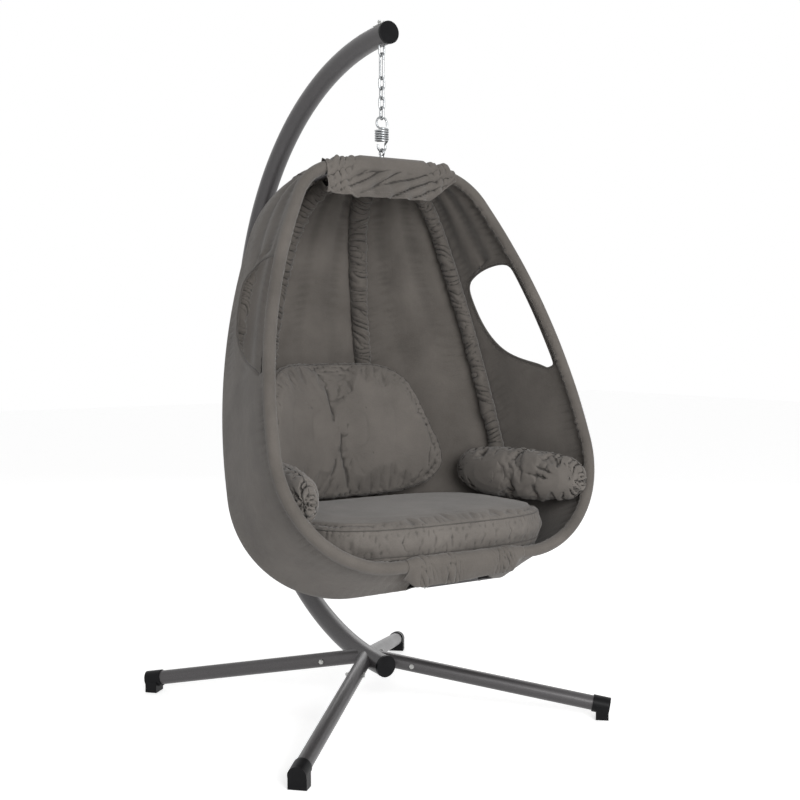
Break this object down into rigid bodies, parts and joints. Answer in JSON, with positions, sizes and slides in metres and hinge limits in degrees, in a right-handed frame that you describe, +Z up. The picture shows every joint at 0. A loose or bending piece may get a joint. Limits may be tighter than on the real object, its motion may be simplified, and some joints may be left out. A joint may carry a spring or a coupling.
{
  "type": "hanging egg chair",
  "caption": "Hanging egg chair: fabric basket with side windows and cushions, hung by a chain and spring from a curved pole on splayed legs.",
  "frame": {"origin": "on the floor, midway between the chair's front and back and midway between its sides", "axes": "+Z up, -Y towards the open front, +X to the right as seen from the front"},
  "size_m": [1.0542, 1.2922, 1.9664],
  "materials": {
    "powder_coat": "satin powder coat, dark grey with a fine metallic fleck",
    "black_plastic": "matte moulded black",
    "chain_steel": "bright plated",
    "plated_steel": "zinc plated",
    "basket_fabric": "woven outdoor polyester, warm mid grey",
    "sleeve_fabric": "the same cloth, gathered",
    "cushion_fabric": "woven outdoor polyester cushion covers, warm mid grey"
  },
  "bodies": {
    "stand": {"pole_lower": "powder_coat", "pole_upper": "powder_coat", "pole_coupler": "powder_coat", "pole_bolts": "plated_steel", "pole_nuts": "plated_steel", "pole_top_cap": "black_plastic", "pole_bottom_cap": "black_plastic", "leg_front_left": "powder_coat", "leg_front_right": "powder_coat", "leg_rear_left": "powder_coat", "leg_rear_right": "powder_coat", "leg_bolts": "plated_steel", "leg_nuts": "plated_steel", "foot_front_left": "black_plastic", "foot_front_right": "black_plastic", "foot_rear_left": "black_plastic", "foot_rear_right": "black_plastic", "hanger_ubolt": "chain_steel", "hanger_saddle": "plated_steel", "hanger_nuts": "plated_steel"},
    "long_link": {"long_link": "chain_steel"},
    "chain_link_1": {"chain_link_1": "chain_steel"},
    "chain_link_2": {"chain_link_2": "chain_steel"},
    "chain_link_3": {"chain_link_3": "chain_steel"},
    "chain_link_4": {"chain_link_4": "chain_steel"},
    "spring": {"spring": "chain_steel"},
    "eye": {"eye_bolt": "chain_steel", "eye_nut": "plated_steel"},
    "basket": {"eye_washers": "plated_steel", "top_plate": "powder_coat", "rim_left": "powder_coat", "rim_right": "powder_coat", "rim_coupler": "powder_coat", "rib_corner_left": "powder_coat", "rib_rear_left": "powder_coat", "rib_rear_right": "powder_coat", "rib_corner_right": "powder_coat", "bottom_bracket": "powder_coat", "frame_bolts": "plated_steel", "frame_nuts": "plated_steel", "fabric_shell": "basket_fabric", "rim_channel_left": "sleeve_fabric", "rim_channel_right": "sleeve_fabric", "sleeve_corner_left": "sleeve_fabric", "sleeve_rear_left": "sleeve_fabric", "sleeve_rear_right": "sleeve_fabric", "sleeve_corner_right": "sleeve_fabric", "top_cover": "basket_fabric", "bottom_wrap": "sleeve_fabric", "seat_cushion": "cushion_fabric", "back_cushion": "cushion_fabric", "arm_pillow_left": "cushion_fabric", "arm_pillow_right": "cushion_fabric"}
  },
  "joints": [
    {"name": "swing_fore_aft", "type": "hinge", "parent": "stand", "child": "long_link", "pos_m": [0, -0.22704, 1.86949], "axis": [1, 0, 0], "range_deg": [-25, 11]},
    {"name": "swing_sideways", "type": "hinge", "parent": "long_link", "child": "chain_link_1", "pos_m": [0, -0.22704, 1.80389], "axis": [0, 1, 0], "range_deg": [-14, 14]},
    {"name": "link_2_rock", "type": "hinge", "parent": "chain_link_1", "child": "chain_link_2", "pos_m": [0, -0.22704, 1.77629], "axis": [1, 0, 0], "range_deg": [-2, 2]},
    {"name": "link_3_rock", "type": "hinge", "parent": "chain_link_2", "child": "chain_link_3", "pos_m": [0, -0.22704, 1.74869], "axis": [0, 1, 0], "range_deg": [-3, 3]},
    {"name": "link_4_rock", "type": "hinge", "parent": "chain_link_3", "child": "chain_link_4", "pos_m": [0, -0.22704, 1.72109], "axis": [1, 0, 0], "range_deg": [-2, 2]},
    {"name": "spring_rock", "type": "hinge", "parent": "chain_link_4", "child": "spring", "pos_m": [0, -0.22704, 1.69349], "axis": [0, 1, 0], "range_deg": [-3, 3]},
    {"name": "spring_stretch", "type": "slide", "parent": "spring", "child": "eye", "axis": [0, 0, -1], "range_m": [0, 0.035], "stiffness_N_per_m": 25000, "springref_m": -0.0148, "deforming": ["spring"]},
    {"name": "basket_turn", "type": "hinge", "parent": "eye", "child": "basket", "pos_m": [0, -0.22704, 1.55], "axis": [0, 0, 1], "range_deg": [-15, 15]}
  ]
}
